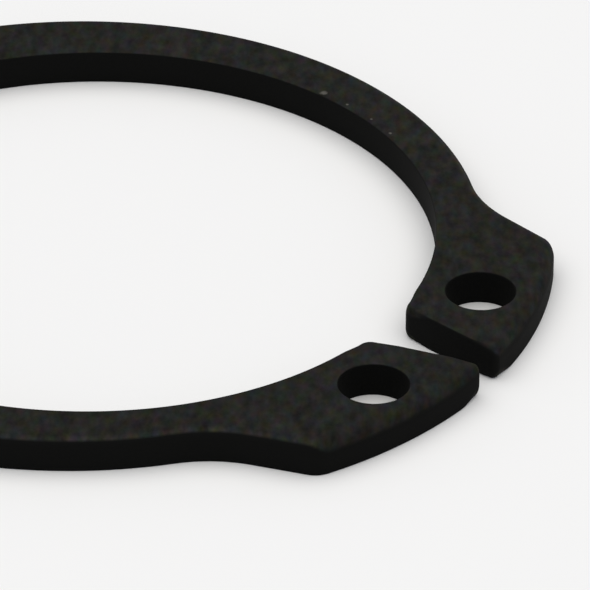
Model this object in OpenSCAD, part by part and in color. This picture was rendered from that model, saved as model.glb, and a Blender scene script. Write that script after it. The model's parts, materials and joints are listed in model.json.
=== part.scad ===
// External retaining ring for a groove in a shaft: one flat stamping of spring steel.
// It lies on the XY plane, with its bore on the Z axis and its gap towards +X.
// Both sides of the X axis are alike, so its outline is worked out for +Y and mirrored.

/* [Ring] */
// Inner diameter of the relaxed ring
bore_d = 23.2; // [18:0.1:30]
// Thickness of the strip
ring_t = 1.2; // [0.8:0.05:2]

/* [Beam] */
// Radial width of the beam opposite the gap
beam_back_w = 2.75; // [2:0.05:4]
// Radial width that the beam's taper would reach at the gap
beam_gap_w = 1.45; // [0.9:0.05:2.2]

/* [Lugs] */
// Radial depth of a lug, from the bore to its outer arc
lug_depth = 4; // [3.2:0.05:5]
// Length of a lug along its outer arc, from the end face to the shoulder
lug_length = 7.45; // [5.6:0.05:9]
// Angle between the shoulder and the ring's radius at the lug's outer corner
shoulder_angle = 43.5; // [30:0.5:55]
// Radius of the hollow between the shoulder and the beam
shoulder_hollow_r = 4.5; // [1:0.1:6]
// Radius of the lug's outer corner at the shoulder
shoulder_corner_r = 0.9; // [0.7:0.05:2]

/* [Gap] */
// Width of the gap at the bore
gap_w = 2.35; // [1.8:0.05:4]
// Angle by which each end face leans into the gap on its way outwards
end_face_lean = 11; // [0:0.5:14]
// Radius of the corner between the end face and the bore
end_inner_r = 0.5; // [0.1:0.05:0.9]
// Radius of the corner between the end face and the lug's outer arc
end_outer_r = 0.25; // [0.1:0.05:0.6]

/* [Plier holes] */
// Diameter of the plier hole in each lug
hole_d = 2.35; // [1.6:0.05:2.8]
// Distance from the end face to the centre of the hole
hole_end_dist = 2.5; // [2:0.05:3.4]
// Distance of the hole outwards from the middle of the lug's depth
hole_out = 0.05; // [-0.3:0.05:0.3]

/* [Rounded edges of the top face] */
// Radius of the top edge along the lugs' outer arc
lug_roll_r = 0.5; // [0.1:0.05:0.7]
// Radius of the top edge along the shoulders and the beam
beam_roll_r = 0.3; // [0.05:0.05:0.5]
// Radius of the top rim of the bore
bore_rim_r = 0.05; // [0.05:0.05:0.4]
// Radius of the top rim of the plier holes
hole_rim_r = 0.05; // [0.05:0.05:0.3]

/* [Hidden] */
steel = "#26262a";
// Largest angles between two points of the small corners, of the hollows and of the long arcs
corner_step = 8;
hollow_step = 5;
long_step = 3;
// Steps round a rolled edge
roll_steps = 5;
// How far a cut reaches past what it cuts
past = 1;
$fn = 180;

centre = [0, 0];
bore_r = bore_d / 2;
lug_r = bore_r + lug_depth;
// The beam's outer circle lies away from the gap, which tapers the beam
beam_r = bore_r + (beam_back_w + beam_gap_w) / 2;
beam_centre = [-(beam_back_w - beam_gap_w) / 2, 0];

function unit(a) = [cos(a), sin(a)];
function left_of(v) = [-v[1], v[0]];
function angle_of(v) = atan2(v[1], v[0]);
function flip_y(p) = [p[0], -p[1]];
// Point where a line through p along the unit vector d meets a circle:
// the farther one along d for side 1, the nearer one for side -1
function line_meets_circle(p, d, c, r, side) =
    let (from_c = p - c, b = from_c * d)
    p + d * (side * sqrt(b * b - from_c * from_c + r * r) - b);

// Each end face leaves the bore and leans into the gap
end_start = [sqrt(bore_r * bore_r - gap_w * gap_w / 4), gap_w / 2];
end_dir = unit(-end_face_lean);
end_in = left_of(end_dir);
function beside_end(away, r) =
    line_meets_circle(end_start + end_in * away, end_dir, centre, r, 1);
inner_corner = beside_end(end_inner_r, bore_r + end_inner_r);
outer_corner = beside_end(end_outer_r, lug_r - end_outer_r);
hole_centre = beside_end(hole_end_dist, bore_r + lug_depth / 2 + hole_out);

// Each shoulder runs from the lug's outer arc down towards the beam
lug_angle = angle_of(beside_end(0, lug_r)) + lug_length / lug_r * 180 / PI;
shoulder_start = lug_r * unit(lug_angle);
shoulder_dir = unit(lug_angle + 180 - shoulder_angle);
shoulder_in = left_of(shoulder_dir);
function beside_shoulder(away, c, r) =
    line_meets_circle(shoulder_start + shoulder_in * away, shoulder_dir, c, r, -1);
shoulder_corner = beside_shoulder(shoulder_corner_r, centre, lug_r - shoulder_corner_r);
hollow = beside_shoulder(-shoulder_hollow_r, beam_centre, beam_r + shoulder_hollow_r);

// The blank's edge, point by point: [place, direction out of the steel, radius of the rolled edge].
// A hollow takes a negative r, because its centre lies outside the steel.
function edge_point(c, r, a, roll) = [c + r * unit(a), unit(a), roll];
// Points of an arc after its first one, with the roll changing evenly along it
function edge_arc(c, r, from, to, step, roll_from, roll_to) =
    let (n = ceil(abs(to - from) / step), turn = (to - from) / n, change = (roll_to - roll_from) / n)
    [for (i = [1:n]) edge_point(c, r, from + turn * i, roll_from + change * i)];

edge_start = edge_point(centre, lug_r, 0, lug_roll_r);
corner_side = angle_of(shoulder_corner);
shoulder_side = angle_of(-shoulder_in);
hollow_side = angle_of(hollow - beam_centre);
half_edge = concat(
    edge_arc(centre, lug_r, 0, corner_side, long_step, lug_roll_r, lug_roll_r),
    edge_arc(shoulder_corner, shoulder_corner_r, corner_side, shoulder_side,
        corner_step, lug_roll_r, beam_roll_r),
    [edge_point(hollow, -shoulder_hollow_r, shoulder_side, beam_roll_r)],
    edge_arc(hollow, -shoulder_hollow_r, shoulder_side, hollow_side,
        hollow_step, beam_roll_r, beam_roll_r),
    edge_arc(beam_centre, beam_r, hollow_side, 180, long_step, beam_roll_r, beam_roll_r)
);
blank_edge = concat(
    [edge_start],
    half_edge,
    [for (i = [len(half_edge) - 2:-1:0])
        let (e = half_edge[i]) [flip_y(e[0]), flip_y(e[1]), e[2]]]
);

// Solid blank, before the bore, the gap and the holes are punched out. Its edge is upright up to
// where the roll starts and curves in from there to the top face. The shape goes on past both
// faces of the strip and is cut to them, so that each face is one flat.
module blank() {
    n = len(blank_edge);
    function rolled(e, a) =
        concat(e[0] - e[1] * e[2] * (1 - cos(a)), ring_t - e[2] * (1 - sin(a)));
    last_step = 90 / roll_steps;
    past_roll = [
        for (e = blank_edge)
        let (top = rolled(e, 90)) top + (top - rolled(e, 90 - last_step)) / 2
    ];
    levels = [
        [for (e = blank_edge) [e[0][0], e[0][1], -past]],
        for (k = [0:roll_steps - 1]) [for (e = blank_edge) rolled(e, k * last_step)],
        past_roll,
        [for (p = past_roll) [p[0], p[1], ring_t + past]]
    ];
    last = len(levels) - 1;
    side_faces = [
        for (k = [0:last - 1], i = [0:n - 1])
        let (a = k * n + i, b = k * n + (i + 1) % n)
        each [[a, a + n, b + n], [a, b + n, b]]
    ];
    intersection() {
        polyhedron(
            points = [for (level = levels) each level],
            faces = concat(
                [[for (i = [0:n - 1]) i]],
                [[for (i = [n - 1:-1:0]) last * n + i]],
                side_faces
            ),
            convexity = 4
        );
        cylinder(h = ring_t, r = lug_r + past);
    }
}

// The gap between the lugs, which rounds their four corners
module gap_cut() {
    corner_arc = function(c, r, from, to)
        let (n = ceil(abs(to - from) / corner_step))
        [for (i = [0:n]) c + r * unit(from + (to - from) * i / n)];
    end_side = angle_of(-end_in);
    half = concat(
        [(bore_r - past) * unit(angle_of(inner_corner))],
        corner_arc(inner_corner, end_inner_r, angle_of(inner_corner) - 180, end_side),
        corner_arc(outer_corner, end_outer_r, end_side, angle_of(outer_corner)),
        [(lug_r + past) * unit(angle_of(outer_corner))]
    );
    translate([0, 0, -past])
        linear_extrude(ring_t + 2 * past)
            polygon(concat(half, [for (i = [len(half) - 1:-1:0]) flip_y(half[i])]));
}

// A round hole of radius r, whose top rim is rounded to rim_r
module round_cut(r, rim_r) {
    rim = [r + rim_r, ring_t - rim_r];
    rotate_extrude()
        polygon(concat(
            [[0, -past], [r, -past]],
            [for (k = [0:roll_steps]) rim + rim_r * unit(180 - 90 * k / roll_steps)],
            [[rim[0], ring_t + past], [0, ring_t + past]]
        ));
}

module retaining_ring() {
    color(steel)
        difference() {
            blank();
            round_cut(bore_r, bore_rim_r);
            gap_cut();
            for (side = [-1, 1])
                translate([hole_centre[0], side * hole_centre[1], 0]) round_cut(hole_d / 2, hole_rim_r);
        }
}

retaining_ring();
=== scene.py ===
"""External retaining ring for a shaft groove, punched from spring steel strip and phosphated black."""
import json
import math

import bpy
from mathutils import Matrix, Vector


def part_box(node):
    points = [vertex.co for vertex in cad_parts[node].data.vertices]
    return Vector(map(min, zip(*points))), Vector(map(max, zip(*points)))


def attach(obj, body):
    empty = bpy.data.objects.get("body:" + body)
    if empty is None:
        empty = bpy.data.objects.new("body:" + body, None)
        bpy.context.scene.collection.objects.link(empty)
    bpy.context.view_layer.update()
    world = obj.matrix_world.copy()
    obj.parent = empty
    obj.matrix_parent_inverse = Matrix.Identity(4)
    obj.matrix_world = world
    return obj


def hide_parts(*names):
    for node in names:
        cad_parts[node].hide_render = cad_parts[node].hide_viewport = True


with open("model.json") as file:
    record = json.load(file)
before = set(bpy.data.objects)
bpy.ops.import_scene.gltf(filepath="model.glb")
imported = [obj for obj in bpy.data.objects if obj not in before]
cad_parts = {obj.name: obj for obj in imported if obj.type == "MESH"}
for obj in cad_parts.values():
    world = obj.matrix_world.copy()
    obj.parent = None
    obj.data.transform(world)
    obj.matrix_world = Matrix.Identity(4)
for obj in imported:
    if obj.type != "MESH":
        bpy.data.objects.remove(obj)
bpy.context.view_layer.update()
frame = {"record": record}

MM = 0.001

# The ring's fixed sizes are the frame's own
MOUNTS = {mount["name"]: mount for mount in frame["record"]["mounts"]}
BORE_R = MOUNTS["shaft_seat"]["dims"]["r_mm"] * MM
HOLES = [MOUNTS["plier_hole_left"], MOUNTS["plier_hole_right"]]
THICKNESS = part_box("retaining_ring")[1].z

# Beam and lugs
BEAM_BACK_WIDTH = 2.75 * MM
BEAM_GAP_WIDTH = 1.45 * MM
LUG_DEPTH = 4.0 * MM
LUG_LENGTH = 7.45 * MM
SHOULDER_ANGLE = math.radians(43.5)
HOLLOW_R = 4.5 * MM
SHOULDER_CORNER_R = 0.9 * MM

# Gap between the lugs
GAP_WIDTH = 2.35 * MM
END_FACE_LEAN = math.radians(11)
INNER_CORNER_R = 0.5 * MM
OUTER_CORNER_R = 0.25 * MM

# The edges along the outline, each as its top edge's reach into the face and drop down the wall, the
# share of that bend that takes the darker wall tone painted as shade, the strength of the highlight
# painted along the rest of it, and the reach and the height of the bottom edge under it. The punch
# draws the sheet down along the outside of the blank. Tumbling takes the sharpness off all other
# edges, and most off the corners of the end faces.
EDGE_VALUES = (
    "edge_reach", "edge_drop", "painted_shade_share", "highlight_strength", "bottom_reach", "bottom_height")
TUMBLED = 0.05 * MM
LUG_EDGE = (0.5 * MM, 0.5 * MM, 0.15, 0.0, TUMBLED, TUMBLED)
BEAM_EDGE = (0.3 * MM, 0.3 * MM, 0.4, 1.0, TUMBLED, TUMBLED)
LUG_TIP_EDGE = (0.2 * MM, 0.45 * MM, 0.15, 0.0, 0.2 * MM, 0.45 * MM)
END_OUTER_EDGE = (0.2 * MM, 0.35 * MM, 0.5, 0.0, 0.2 * MM, 0.35 * MM)
END_EDGE = (0.08 * MM, 0.12 * MM, 0.7, 0.0, TUMBLED, TUMBLED)
END_INNER_EDGE = (0.15 * MM, 0.4 * MM, 0.15, 0.0, 0.15 * MM, 0.3 * MM)
CUT_EDGE = (TUMBLED, TUMBLED, 0.4, 0.0, TUMBLED, TUMBLED)
# Share of the bend over which the painted wall shade gives way to the skin of the faces
PAINTED_SHADE_FADE = 0.2
# Length of lug arc on which the drawn edge dies out towards the gap
LUG_EDGE_FADE = 0.9 * MM
# Length on which the worn corners of the end faces die out, along the end face and along the bore
END_CORNER_FADE = 0.8 * MM

# Fineness of the outline and of its rounded edges
LONG_STEP = math.radians(1.0)
CORNER_STEP = math.radians(5)
EDGE_STEPS = 10
# Width of the flat border that keeps the faces' shading level up to the rounded edges
FLAT_BORDER = 0.03 * MM
# Points closer than this are one
SAME_PLACE = 0.0001 * MM

# Colours of the phosphate skin: its darkest and lightest clusters, the darker tone painted on the walls
# as shade, and the tone of the light specks beside the bore
DARK_CLUSTERS = "#131311"
LIGHT_CLUSTERS = "#282723"
PAINTED_WALL_SHADE = "#0f0f0e"
SPECK_TONE = "#55524c"
# The skin is porous, so it scatters the light that it throws back, and has next to no gloss
SKIN_ROUGHNESS = 0.7
SKIN_GLOSS = 0.03
# How much lighter the bend of a drawn edge is painted, as a painted highlight
HIGHLIGHT_GAIN = 0.7

# Grain of the phosphate skin, drawn out along the direction in which the strip was rolled. The
# crystals grow in clusters about a third of a millimetre wide.
ROLLING_DIRECTION = math.radians(122)
ROLLING_STRETCH = 1.7
CLUSTER_SIZE = 0.36 * MM
# Heights of the clusters' noise at which their tone is darkest and lightest
DARKEST_AT = 0.25
LIGHTEST_AT = 0.75
# How wide the places are that lean towards one colour, and how far in red, in green and in blue
TINT_SIZE = 0.33 * MM
TINT_STRENGTH = (1.1, 0.9, 1.6)
# A single crystal is about 0.02 mm wide, which is too fine to show, so it is drawn coarser
CRYSTAL_SIZE = 0.08 * MM
CRYSTAL_HEIGHT = 0.01 * MM
CRYSTAL_BUMP = 0.5
# The finer layers of each noise, and how strong each is next to the one before
CLUSTER_LAYERS = {"Detail": 2.0, "Roughness": 0.6}
TINT_LAYERS = {"Detail": 1.0, "Roughness": 0.5}
CRYSTAL_LAYERS = {"Detail": 2.0, "Roughness": 0.5}

# Light specks beside the bore's rim, painted in a lighter tone: direction from the bore axis, and size
LIGHT_SPECKS = [
    (math.radians(80.6), 0.14 * MM),
    (math.radians(75.1), 0.06 * MM),
    (math.radians(68.8), 0.05 * MM),
    (math.radians(63.2), 0.07 * MM),
]
SPECKS_R = BORE_R + 0.22 * MM
# How many times farther out a spot's ragged border ends than it begins
SPECK_FADE = 1.6

# Where the photograph was taken from, seen from the ring's bore axis at floor level: the heading,
# the slope and the tilt of the camera's view, and the camera's place beside and under that view
CAMERA_HEADING = math.radians(121.93)
CAMERA_ELEVATION = math.radians(31.93)
CAMERA_TILT = math.radians(0.34)
CAMERA_DISTANCE = 232.0 * MM
CAMERA_ASIDE = 6.847 * MM
CAMERA_BELOW = 1.337 * MM
# Focal length and width of the sensor in millimetres, as Blender takes them
CAMERA_LENS = 418.3
SENSOR_WIDTH = 36.0
# Distances in metres between which the camera sees
NEAREST_SEEN = 0.01
FARTHEST_SEEN = 20.0

# Softbox above the ring, the light of the room round it, and the pale backdrop that the camera and
# gloss see in place of the room
LAMP_HEIGHT = 0.6
LAMP_WIDTH = 1.4
LAMP_POWER = 4.6
LAMP_TINT = "#fffdf6"
ROOM_TINT = "#e6eeff"
ROOM_STRENGTH = 0.55
BACKDROP_TINT = "#f4f4f2"
BACKDROP_STRENGTH = 1.0

# The paper that the ring lies on
FLOOR_WIDTH = 6.0
PAPER_TINT = "#f7f4ef"
PAPER_ROUGHNESS = 0.9


def unit(angle):
    return Vector((math.cos(angle), math.sin(angle)))


def angle_of(v):
    return math.atan2(v.y, v.x)


def left_of(v):
    return Vector((-v.y, v.x))


def line_meets_circle(start, direction, centre, radius, side):
    """The farther point along direction for side 1, the nearer one for side -1."""
    away = start - centre
    along = away.dot(direction)
    return start + direction * (side * math.sqrt(along ** 2 - away.dot(away) + radius ** 2) - along)


def edge_arc(centre, radius, start, end, step, edge_start, edge_end):
    """Points of an arc of the outline as (place, direction out of the steel, edge). The edge changes
    along it, slowly at both ends. A negative radius has its centre outside the steel."""
    count = max(1, math.ceil(abs(end - start) / step))
    points = []
    for i in range(count + 1):
        share = i / count
        out = unit(start + (end - start) * share)
        eased = share * share * (3 - 2 * share)
        edge = [a + (b - a) * eased for a, b in zip(edge_start, edge_end)]
        points.append((centre + out * radius, out, edge))
    return points


def upper_outline():
    """The half of the ring's outline above the X axis, with the steel on its left: round the bore
    from the back to the gap, out along the end face, and back along the lug and the beam."""
    origin = Vector((0, 0))
    lug_r = BORE_R + LUG_DEPTH
    beam_r = BORE_R + (BEAM_BACK_WIDTH + BEAM_GAP_WIDTH) / 2
    beam_centre = Vector(((BEAM_GAP_WIDTH - BEAM_BACK_WIDTH) / 2, 0))

    end_start = Vector((math.sqrt(BORE_R ** 2 - GAP_WIDTH ** 2 / 4), GAP_WIDTH / 2))
    end_dir = unit(-END_FACE_LEAN)
    end_in = left_of(end_dir)
    end_side = angle_of(-end_in)
    inner = line_meets_circle(
        end_start + end_in * INNER_CORNER_R, end_dir, origin, BORE_R + INNER_CORNER_R, 1)
    outer = line_meets_circle(
        end_start + end_in * OUTER_CORNER_R, end_dir, origin, lug_r - OUTER_CORNER_R, 1)

    tip = line_meets_circle(end_start, end_dir, origin, lug_r, 1)
    shoulder_start = lug_r * unit(angle_of(tip) + LUG_LENGTH / lug_r)
    shoulder_dir = unit(angle_of(shoulder_start) + math.pi - SHOULDER_ANGLE)
    shoulder_in = left_of(shoulder_dir)
    corner = line_meets_circle(
        shoulder_start + shoulder_in * SHOULDER_CORNER_R, shoulder_dir,
        origin, lug_r - SHOULDER_CORNER_R, -1)
    hollow = line_meets_circle(
        shoulder_start - shoulder_in * HOLLOW_R, shoulder_dir, beam_centre, beam_r + HOLLOW_R, -1)

    # Places where the worn corners of the end face and the lug's drawn edge have died out
    end_out = unit(end_side)
    near_bore = inner + end_out * INNER_CORNER_R + end_dir * END_CORNER_FADE
    near_tip = outer + end_out * OUTER_CORNER_R - end_dir * END_CORNER_FADE
    bore_end = angle_of(inner) + math.pi
    bore_fade = bore_end + END_CORNER_FADE / BORE_R
    fade_end = angle_of(outer) + LUG_EDGE_FADE / lug_r
    hollow_side = angle_of(hollow - beam_centre)
    runs = [
        edge_arc(origin, -BORE_R, 2 * math.pi, bore_fade, LONG_STEP, CUT_EDGE, CUT_EDGE),
        edge_arc(origin, -BORE_R, bore_fade, bore_end, LONG_STEP / 2, CUT_EDGE, END_INNER_EDGE),
        edge_arc(inner, INNER_CORNER_R, angle_of(inner) - math.pi, end_side, CORNER_STEP,
                 END_INNER_EDGE, END_INNER_EDGE),
        [(near_bore, end_out, END_EDGE), (near_tip, end_out, END_EDGE)],
        edge_arc(outer, OUTER_CORNER_R, end_side, angle_of(outer), CORNER_STEP,
                 END_OUTER_EDGE, LUG_TIP_EDGE),
        edge_arc(origin, lug_r, angle_of(outer), fade_end, LONG_STEP / 2, LUG_TIP_EDGE, LUG_EDGE),
        edge_arc(origin, lug_r, fade_end, angle_of(corner), LONG_STEP, LUG_EDGE, LUG_EDGE),
        edge_arc(corner, SHOULDER_CORNER_R, angle_of(corner), angle_of(-shoulder_in), CORNER_STEP,
                 LUG_EDGE, BEAM_EDGE),
        edge_arc(hollow, -HOLLOW_R, angle_of(-shoulder_in), hollow_side, CORNER_STEP / 2,
                 BEAM_EDGE, BEAM_EDGE),
        edge_arc(beam_centre, beam_r, hollow_side, math.pi, LONG_STEP, BEAM_EDGE, BEAM_EDGE),
    ]
    outline = []
    for points in runs:
        if outline and (points[0][0] - outline[-1][0]).length < SAME_PLACE:
            points = points[1:]
        outline += points
    return outline


def mirrored(points):
    """The same points on the other side of the X axis, in reverse, which keeps the steel on their
    left."""
    flip = Vector((1, -1))
    return [(place * flip, out * flip, edge) for place, out, edge in reversed(points)]


def plier_hole(mount):
    """A hole's rim, run round clockwise, so that the steel is on its left."""
    centre = Vector(mount["pos_m"][:2])
    radius = mount["dims"]["r_mm"] * MM
    return edge_arc(centre, -radius, 2 * math.pi, 0, CORNER_STEP / 2, CUT_EDGE, CUT_EDGE)[:-1]


def strip_outline(name):
    """The outline of the ring and of its holes, as closed lines that carry what the edges need."""
    upper = upper_outline()
    loops = [upper[:-1] + mirrored(upper)[:-1]] + [plier_hole(mount) for mount in HOLES]
    places, outs, edges, lines = [], [], [], []
    for loop in loops:
        first = len(places)
        for i, (place, out, edge) in enumerate(loop):
            places.append((*place, 0))
            outs.append((*out, 0))
            edges.append(edge)
            lines.append((first + i, first + (i + 1) % len(loop)))
    mesh = bpy.data.meshes.new(name)
    mesh.from_pydata(places, lines, [])
    out_of_steel = mesh.attributes.new("out_of_steel", "FLOAT_VECTOR", "POINT")
    out_of_steel.data.foreach_set("vector", sum(outs, ()))
    for label, values in zip(EDGE_VALUES, zip(*edges)):
        mesh.attributes.new(label, "FLOAT", "POINT").data.foreach_set("value", values)
    piece = bpy.data.objects.new(name, mesh)
    bpy.context.scene.collection.objects.link(piece)
    return piece


def add(tree, kind, inputs=None, **settings):
    """A new node of that kind, with its settings, and its inputs set to values or linked to sockets."""
    node = tree.nodes.new(kind)
    for name, value in settings.items():
        setattr(node, name, value)
    for key, value in (inputs or {}).items():
        if isinstance(value, bpy.types.NodeSocket):
            tree.links.new(value, node.inputs[key])
        else:
            node.inputs[key].default_value = value
    return node


def tree_with_inputs(name, sockets):
    """A geometry tree with a mesh output and these named inputs, and its input and output nodes."""
    tree = bpy.data.node_groups.new(name, "GeometryNodeTree")
    for label, kind in sockets.items():
        tree.interface.new_socket(label, in_out="INPUT", socket_type=kind)
    tree.interface.new_socket("Mesh", in_out="OUTPUT", socket_type="NodeSocketGeometry")
    return tree, add(tree, "NodeGroupInput"), add(tree, "NodeGroupOutput")


def half_strip_tree():
    """One half of the strip, from its middle plane up: the upright wall rises from the outline and
    rolls in over the edge, and a flat face closes it."""
    tree, given, result = tree_with_inputs("half_strip", {
        "Outline": "NodeSocketGeometry",
        "Half Thickness": "NodeSocketFloat",
        "Edge Reach": "NodeSocketFloat",
        "Edge Drop": "NodeSocketFloat",
        "Edge Steps": "NodeSocketInt",
        "Flat Border": "NodeSocketFloat",
        "Painted Shade Fade": "NodeSocketFloat",
    })
    out_of_steel = add(
        tree, "GeometryNodeInputNamedAttribute", {"Name": "out_of_steel"}, data_type="FLOAT_VECTOR")
    # Share of each edge's bend that takes the painted wall shade, and strength of its painted highlight
    painted_shade_share = add(
        tree, "GeometryNodeInputNamedAttribute", {"Name": "painted_shade_share"}, data_type="FLOAT")
    highlight_strength = add(tree, "GeometryNodeInputNamedAttribute", {"Name": "highlight_strength"}, data_type="FLOAT")
    place = add(tree, "GeometryNodeInputPosition")
    # Painted shade: the upright walls take the darker wall tone in full
    on_wall = add(
        tree, "GeometryNodeStoreNamedAttribute",
        {"Geometry": given.outputs["Outline"], "Name": "painted_shade", "Value": 1.0},
        data_type="FLOAT", domain="POINT")
    kept = add(tree, "GeometryNodeCaptureAttribute", {"Geometry": on_wall.outputs[0]})
    kept.capture_items.new("VECTOR", "Place")
    kept.capture_items.new("FLOAT", "Reach")
    kept.capture_items.new("FLOAT", "Drop")
    tree.links.new(place.outputs[0], kept.inputs["Place"])
    tree.links.new(given.outputs["Edge Reach"], kept.inputs["Reach"])
    tree.links.new(given.outputs["Edge Drop"], kept.inputs["Drop"])

    start = add(tree, "GeometryNodeRepeatInput")
    end = add(tree, "GeometryNodeRepeatOutput")
    start.pair_with_output(end)
    end.repeat_items.new("BOOLEAN", "Rim")
    # Besides the steps of the bend, one level ends the upright wall and one the flat border
    wall_and_border = 2.0
    levels = add(tree, "ShaderNodeMath", {0: given.outputs["Edge Steps"], 1: wall_and_border})
    tree.links.new(levels.outputs[0], start.inputs["Iterations"])
    tree.links.new(kept.outputs["Geometry"], start.inputs["Geometry"])
    start.inputs["Rim"].default_value = True

    level = start.outputs["Iteration"]
    steps = given.outputs["Edge Steps"]
    turned = add(tree, "ShaderNodeMath", {0: level, 1: steps}, operation="MINIMUM")
    share = add(tree, "ShaderNodeMath", {0: turned.outputs[0], 1: steps}, operation="DIVIDE")
    angle = add(tree, "ShaderNodeMath", {0: share.outputs[0], 1: math.pi / 2}, operation="MULTIPLY")
    sine = add(tree, "ShaderNodeMath", {0: angle.outputs[0]}, operation="SINE")
    cosine = add(tree, "ShaderNodeMath", {0: angle.outputs[0]}, operation="COSINE")
    below = add(tree, "ShaderNodeMath", {0: 1.0, 1: sine.outputs[0]}, operation="SUBTRACT")
    within = add(tree, "ShaderNodeMath", {0: 1.0, 1: cosine.outputs[0]}, operation="SUBTRACT")
    drop = add(
        tree, "ShaderNodeMath", {0: below.outputs[0], 1: kept.outputs["Drop"]}, operation="MULTIPLY")
    height = add(
        tree, "ShaderNodeMath", {0: given.outputs["Half Thickness"], 1: drop.outputs[0]},
        operation="SUBTRACT")
    on_face = add(tree, "ShaderNodeMath", {0: level, 1: steps}, operation="GREATER_THAN")
    border = add(
        tree, "ShaderNodeMath", {0: on_face.outputs[0], 1: given.outputs["Flat Border"]},
        operation="MULTIPLY")
    inset = add(
        tree, "ShaderNodeMath",
        {0: within.outputs[0], 1: kept.outputs["Reach"], 2: border.outputs[0]},
        operation="MULTIPLY_ADD")
    outset = add(tree, "ShaderNodeMath", {0: inset.outputs[0], 1: -1.0}, operation="MULTIPLY")
    moved_in = add(
        tree, "ShaderNodeVectorMath", {0: out_of_steel.outputs[0], "Scale": outset.outputs[0]},
        operation="SCALE")
    in_plan = add(
        tree, "ShaderNodeVectorMath", {0: kept.outputs["Place"], 1: moved_in.outputs[0]})
    up = add(tree, "ShaderNodeCombineXYZ", {"Z": height.outputs[0]})
    at_level = add(tree, "ShaderNodeVectorMath", {0: in_plan.outputs[0], 1: up.outputs[0]})
    raised = add(
        tree, "GeometryNodeExtrudeMesh",
        {"Mesh": start.outputs["Geometry"], "Selection": start.outputs["Rim"], "Offset Scale": 0.0},
        mode="EDGES")
    shaped = add(
        tree, "GeometryNodeSetPosition",
        {"Geometry": raised.outputs["Mesh"], "Selection": raised.outputs["Top"],
         "Position": at_level.outputs[0]})
    # Painted shade fades out over the bend, and is left off the flat face
    fade_end = add(
        tree, "ShaderNodeMath", {0: painted_shade_share.outputs[0], 1: given.outputs["Painted Shade Fade"]})
    fading = add(
        tree, "ShaderNodeMapRange",
        {"Value": share.outputs[0], "From Min": painted_shade_share.outputs[0],
         "From Max": fade_end.outputs[0], "To Min": 1.0, "To Max": 0.0})
    off_face = add(tree, "ShaderNodeMath", {0: 1.0, 1: on_face.outputs[0]}, operation="SUBTRACT")
    painted_shade = add(
        tree, "ShaderNodeMath", {0: fading.outputs[0], 1: off_face.outputs[0]},
        operation="MULTIPLY")
    marked = add(
        tree, "GeometryNodeStoreNamedAttribute",
        {"Geometry": shaped.outputs[0], "Selection": raised.outputs["Top"], "Name": "painted_shade",
         "Value": painted_shade.outputs[0]},
        data_type="FLOAT", domain="POINT")
    # Painted highlight: strongest in the middle of the bend, as far as the edge's highlight strength
    half_turn = add(
        tree, "ShaderNodeMath", {0: share.outputs[0], 1: math.pi}, operation="MULTIPLY")
    bent = add(tree, "ShaderNodeMath", {0: half_turn.outputs[0]}, operation="SINE")
    highlight_here = add(
        tree, "ShaderNodeMath", {0: bent.outputs[0], 1: highlight_strength.outputs[0]}, operation="MULTIPLY")
    painted_highlight = add(
        tree, "GeometryNodeStoreNamedAttribute",
        {"Geometry": marked.outputs[0], "Selection": raised.outputs["Top"], "Name": "painted_highlight",
         "Value": highlight_here.outputs[0]},
        data_type="FLOAT", domain="POINT")
    tree.links.new(painted_highlight.outputs[0], end.inputs["Geometry"])
    tree.links.new(raised.outputs["Top"], end.inputs["Rim"])
    facing_out = add(tree, "GeometryNodeFlipFaces", {"Mesh": end.outputs["Geometry"]})
    wall = add(tree, "GeometryNodeSetShadeSmooth", {"Geometry": facing_out.outputs[0]})

    face_inset = add(
        tree, "ShaderNodeMath", {0: kept.outputs["Reach"], 1: given.outputs["Flat Border"]})
    face_outset = add(
        tree, "ShaderNodeMath", {0: face_inset.outputs[0], 1: -1.0}, operation="MULTIPLY")
    face_moved = add(
        tree, "ShaderNodeVectorMath",
        {0: out_of_steel.outputs[0], "Scale": face_outset.outputs[0]}, operation="SCALE")
    face_line = add(
        tree, "GeometryNodeSetPosition",
        {"Geometry": kept.outputs["Geometry"], "Offset": face_moved.outputs[0]})
    face_curve = add(tree, "GeometryNodeMeshToCurve", {"Mesh": face_line.outputs[0]})
    face = add(tree, "GeometryNodeFillCurve", {"Curve": face_curve.outputs[0]})
    # The flat faces take none of the painted wall shade
    face_marked = add(
        tree, "GeometryNodeStoreNamedAttribute",
        {"Geometry": face.outputs[0], "Name": "painted_shade", "Value": 0.0},
        data_type="FLOAT", domain="POINT")
    face_up = add(tree, "ShaderNodeCombineXYZ", {"Z": given.outputs["Half Thickness"]})
    face_raised = add(
        tree, "GeometryNodeSetPosition",
        {"Geometry": face_marked.outputs[0], "Offset": face_up.outputs[0]})
    face_flat = add(
        tree, "GeometryNodeSetShadeSmooth",
        {"Geometry": face_raised.outputs[0], "Shade Smooth": False})

    whole = add(tree, "GeometryNodeJoinGeometry")
    tree.links.new(wall.outputs[0], whole.inputs[0])
    tree.links.new(face_flat.outputs[0], whole.inputs[0])
    tree.links.new(whole.outputs[0], result.inputs["Mesh"])
    return tree


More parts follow.
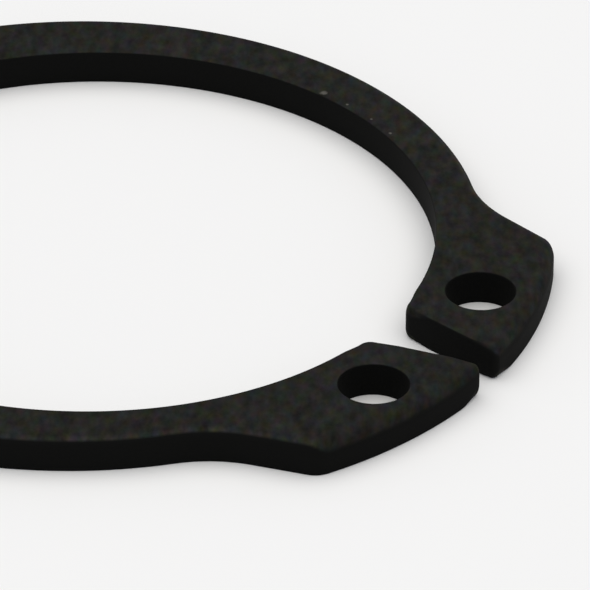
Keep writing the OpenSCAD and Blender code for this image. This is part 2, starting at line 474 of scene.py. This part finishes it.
def punched_strip_tree():
    """The whole strip from its outline: an upper half with the top edges and a lower half with the
    bottom edges, welded along the middle."""
    tree, given, result = tree_with_inputs("punched_strip", {
        "Outline": "NodeSocketGeometry",
        "Thickness": "NodeSocketFloat",
        "Edge Steps": "NodeSocketInt",
        "Flat Border": "NodeSocketFloat",
        "Painted Shade Fade": "NodeSocketFloat",
        "Weld Distance": "NodeSocketFloat",
        "Steel": "NodeSocketMaterial",
    })
    half_strip = half_strip_tree()
    half = add(
        tree, "ShaderNodeMath", {0: given.outputs["Thickness"], 1: 2.0}, operation="DIVIDE")
    shared = {
        "Outline": given.outputs["Outline"],
        "Half Thickness": half.outputs[0],
        "Edge Steps": given.outputs["Edge Steps"],
        "Flat Border": given.outputs["Flat Border"],
        "Painted Shade Fade": given.outputs["Painted Shade Fade"],
    }
    upper = add(tree, "GeometryNodeGroup", node_tree=half_strip)
    lower = add(tree, "GeometryNodeGroup", node_tree=half_strip)
    halves = ((upper, "edge_reach", "edge_drop"), (lower, "bottom_reach", "bottom_height"))
    for node, reach, drop in halves:
        for label, name in (("Edge Reach", reach), ("Edge Drop", drop)):
            value = add(
                tree, "GeometryNodeInputNamedAttribute", {"Name": name}, data_type="FLOAT")
            tree.links.new(value.outputs[0], node.inputs[label])
        for label, socket in shared.items():
            tree.links.new(socket, node.inputs[label])
    turned = add(
        tree, "GeometryNodeTransform", {"Geometry": lower.outputs[0], "Scale": (1, 1, -1)})
    flipped = add(tree, "GeometryNodeFlipFaces", {"Mesh": turned.outputs[0]})
    both = add(tree, "GeometryNodeJoinGeometry")
    tree.links.new(upper.outputs[0], both.inputs[0])
    tree.links.new(flipped.outputs[0], both.inputs[0])
    welded = add(
        tree, "GeometryNodeMergeByDistance",
        {"Geometry": both.outputs[0], "Distance": given.outputs["Weld Distance"]})
    up = add(tree, "ShaderNodeCombineXYZ", {"Z": half.outputs[0]})
    placed = add(
        tree, "GeometryNodeTransform",
        {"Geometry": welded.outputs[0], "Translation": up.outputs[0]})
    clean = placed
    for name in ("out_of_steel", *EDGE_VALUES):
        clean = add(
            tree, "GeometryNodeRemoveAttribute", {"Geometry": clean.outputs[0], "Name": name})
    real = add(tree, "GeometryNodeRealizeInstances", {"Geometry": clean.outputs[0]})
    painted = add(
        tree, "GeometryNodeSetMaterial",
        {"Geometry": real.outputs[0], "Material": given.outputs["Steel"]})
    tree.links.new(painted.outputs[0], result.inputs["Mesh"])
    return tree


def made_plain(piece, tree, values):
    """Runs the tree on the piece with these inputs, and keeps the result as a plain mesh."""
    step = piece.modifiers.new(tree.name, "NODES")
    step.node_group = tree
    for socket in tree.interface.items_tree:
        if socket.in_out == "INPUT" and socket.name in values:
            step[socket.identifier] = values[socket.name]
    evaluated = piece.evaluated_get(bpy.context.evaluated_depsgraph_get())
    mesh = bpy.data.meshes.new_from_object(evaluated)
    mesh.name = piece.name
    # Set Material leaves an empty slot before its own
    mesh.materials.pop(index=0)
    piece.modifiers.clear()
    piece.data = mesh


def linear(code):
    """An sRGB hex colour as the linear values that a shader takes."""
    channels = [int(code[i:i + 2], 16) / 255 for i in (1, 3, 5)]
    return [c / 12.92 if c <= 0.04045 else ((c + 0.055) / 1.055) ** 2.4 for c in channels] + [1.0]


def light_specks(tree, place, raggedness):
    """How much of the light speck tone a place takes: all of it within the specks beside the bore."""
    specked = 0.0
    for angle, size in LIGHT_SPECKS:
        middle = unit(angle) * SPECKS_R
        apart = add(
            tree, "ShaderNodeVectorMath", {0: place, 1: (middle.x, middle.y, THICKNESS)},
            operation="DISTANCE")
        ragged = add(
            tree, "ShaderNodeMath", {0: raggedness, 1: size, 2: apart.outputs["Value"]},
            operation="MULTIPLY_ADD")
        spot = add(
            tree, "ShaderNodeMapRange",
            {"Value": ragged.outputs[0], "From Min": size, "From Max": size * SPECK_FADE,
             "To Min": 1.0, "To Max": 0.0})
        specked = add(
            tree, "ShaderNodeMath", {0: spot.outputs[0], 1: specked}, operation="MAXIMUM").outputs[0]
    return specked


def black_phosphate_steel():
    """Black manganese phosphate on spring steel, grown in a hot bath and oiled: a matt, nearly black
    skin of fine crystals, whose clusters lean towards warm, green or blue. The walls are painted
    blacker than the faces as painted shade, the bend of the beam's drawn edge lighter as a painted
    highlight, and a few light specks lie beside the bore."""
    material = bpy.data.materials.new("black_phosphate_on_spring_steel")
    material.use_nodes = True
    tree = material.node_tree
    tree.nodes.clear()
    place = add(tree, "ShaderNodeTexCoord").outputs["Object"]
    along_rolling = add(
        tree, "ShaderNodeMapping",
        {"Vector": place, "Rotation": (0, 0, ROLLING_DIRECTION), "Scale": (ROLLING_STRETCH, 1, 1)},
        vector_type="TEXTURE")
    grain = along_rolling.outputs[0]

    clusters = add(
        tree, "ShaderNodeTexNoise",
        {"Vector": grain, "Scale": 1 / CLUSTER_SIZE, **CLUSTER_LAYERS})
    tone = add(tree, "ShaderNodeValToRGB", {"Fac": clusters.outputs["Fac"]})
    tone.color_ramp.elements[0].position = DARKEST_AT
    tone.color_ramp.elements[0].color = linear(DARK_CLUSTERS)
    tone.color_ramp.elements[1].position = LIGHTEST_AT
    tone.color_ramp.elements[1].color = linear(LIGHT_CLUSTERS)
    tints = add(
        tree, "ShaderNodeTexNoise",
        {"Vector": grain, "Scale": 1 / TINT_SIZE, **TINT_LAYERS})
    leaning = add(
        tree, "ShaderNodeVectorMath",
        {0: tints.outputs["Color"], 1: TINT_STRENGTH, 2: [1 - s / 2 for s in TINT_STRENGTH]},
        operation="MULTIPLY_ADD")
    on_faces = add(
        tree, "ShaderNodeVectorMath", {0: tone.outputs["Color"], 1: leaning.outputs[0]},
        operation="MULTIPLY")
    painted_shade = add(tree, "ShaderNodeAttribute", attribute_name="painted_shade")
    painted_highlight = add(tree, "ShaderNodeAttribute", attribute_name="painted_highlight")
    # Painted highlight: the bend of the beam's drawn edge is painted lighter
    lighter = add(
        tree, "ShaderNodeMath", {0: painted_highlight.outputs["Fac"], 1: HIGHLIGHT_GAIN, 2: 1.0},
        operation="MULTIPLY_ADD")
    with_painted_highlight = add(
        tree, "ShaderNodeVectorMath", {0: on_faces.outputs[0], "Scale": lighter.outputs[0]},
        operation="SCALE")
    # Painted shade: the walls take the darker wall tone
    skin = add(
        tree, "ShaderNodeMix",
        {"Factor": painted_shade.outputs["Fac"], "A": with_painted_highlight.outputs[0], "B": linear(PAINTED_WALL_SHADE)},
        data_type="RGBA")
    crystals = add(
        tree, "ShaderNodeTexNoise",
        {"Vector": place, "Scale": 1 / CRYSTAL_SIZE, **CRYSTAL_LAYERS})
    # Light specks beside the bore's rim, with ragged borders from the crystal noise
    specked = light_specks(tree, place, crystals.outputs["Fac"])
    worn = add(
        tree, "ShaderNodeMix",
        {"Factor": specked, "A": skin.outputs[2], "B": linear(SPECK_TONE)}, data_type="RGBA")
    bump = add(
        tree, "ShaderNodeBump",
        {"Height": crystals.outputs["Fac"], "Strength": CRYSTAL_BUMP, "Distance": CRYSTAL_HEIGHT})
    shader = add(
        tree, "ShaderNodeBsdfPrincipled",
        {"Base Color": worn.outputs[2], "Roughness": SKIN_ROUGHNESS,
         "Specular IOR Level": SKIN_GLOSS, "Normal": bump.outputs[0]})
    add(tree, "ShaderNodeOutputMaterial", {"Surface": shader.outputs[0]})
    return material


def white_paper():
    """Matt white photo paper: it scatters nearly all light, and has no gloss."""
    material = bpy.data.materials.new("white_photo_paper")
    material.use_nodes = True
    shader = material.node_tree.nodes["Principled BSDF"]
    shader.inputs["Base Color"].default_value = linear(PAPER_TINT)
    shader.inputs["Roughness"].default_value = PAPER_ROUGHNESS
    shader.inputs["Specular IOR Level"].default_value = 0.0
    return material


def make_ring():
    ring = strip_outline("ring")
    made_plain(ring, punched_strip_tree(), {
        "Thickness": THICKNESS,
        "Edge Steps": EDGE_STEPS,
        "Flat Border": FLAT_BORDER,
        "Painted Shade Fade": PAINTED_SHADE_FADE,
        "Weld Distance": SAME_PLACE,
        "Steel": black_phosphate_steel(),
    })
    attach(ring, "root")
    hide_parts("retaining_ring")


def make_floor():
    half = FLOOR_WIDTH / 2
    mesh = bpy.data.meshes.new("floor")
    corners = [(-half, -half, 0), (half, -half, 0), (half, half, 0), (-half, half, 0)]
    mesh.from_pydata(corners, [], [(0, 1, 2, 3)])
    mesh.materials.append(white_paper())
    floor = bpy.data.objects.new("floor", mesh)
    bpy.context.scene.collection.objects.link(floor)


def make_light():
    lamp = bpy.data.lights.new("softbox", "AREA")
    lamp.shape = "DISK"
    lamp.size = LAMP_WIDTH
    lamp.energy = LAMP_POWER
    lamp.color = linear(LAMP_TINT)[:3]
    softbox = bpy.data.objects.new("softbox", lamp)
    softbox.location = (0, 0, LAMP_HEIGHT)
    bpy.context.scene.collection.objects.link(softbox)

    world = bpy.data.worlds.new("studio")
    bpy.context.scene.world = world
    world.use_nodes = True
    tree = world.node_tree
    tree.nodes.clear()
    room = add(
        tree, "ShaderNodeBackground", {"Color": linear(ROOM_TINT), "Strength": ROOM_STRENGTH})
    backdrop = add(
        tree, "ShaderNodeBackground",
        {"Color": linear(BACKDROP_TINT), "Strength": BACKDROP_STRENGTH})
    rays = add(tree, "ShaderNodeLightPath")
    seen = add(
        tree, "ShaderNodeMath",
        {0: rays.outputs["Is Camera Ray"], 1: rays.outputs["Is Glossy Ray"]}, operation="MAXIMUM")
    shown = add(
        tree, "ShaderNodeMath",
        {0: seen.outputs[0], 1: rays.outputs["Is Transmission Ray"]}, operation="MAXIMUM")
    either = add(
        tree, "ShaderNodeMixShader",
        {0: shown.outputs[0], 1: room.outputs[0], 2: backdrop.outputs[0]})
    add(tree, "ShaderNodeOutputWorld", {"Surface": either.outputs[0]})


def make_camera():
    """The camera looks along its heading and down at the ring, a little aside of the bore axis."""
    along = unit(CAMERA_HEADING)
    right = Vector((along.y, -along.x, 0))
    level, down = math.cos(CAMERA_ELEVATION), math.sin(CAMERA_ELEVATION)
    forward = Vector((along.x * level, along.y * level, -down))
    up = right.cross(forward)
    camera = bpy.data.objects.new("camera", bpy.data.cameras.new("camera"))
    place = right * CAMERA_ASIDE - up * CAMERA_BELOW - forward * CAMERA_DISTANCE
    tilted_right = right * math.cos(CAMERA_TILT) + up * math.sin(CAMERA_TILT)
    tilted_up = up * math.cos(CAMERA_TILT) - right * math.sin(CAMERA_TILT)
    turn = Matrix((tilted_right, tilted_up, -forward)).transposed()
    camera.matrix_world = Matrix.Translation(place) @ turn.to_4x4()
    camera.data.lens = CAMERA_LENS
    camera.data.sensor_width = SENSOR_WIDTH
    camera.data.clip_start = NEAREST_SEEN
    camera.data.clip_end = FARTHEST_SEEN
    bpy.context.scene.collection.objects.link(camera)
    bpy.context.scene.camera = camera


make_ring()
make_floor()
make_light()
make_camera()
bpy.context.scene.view_settings.view_transform = "Standard"

bpy.context.view_layer.update()
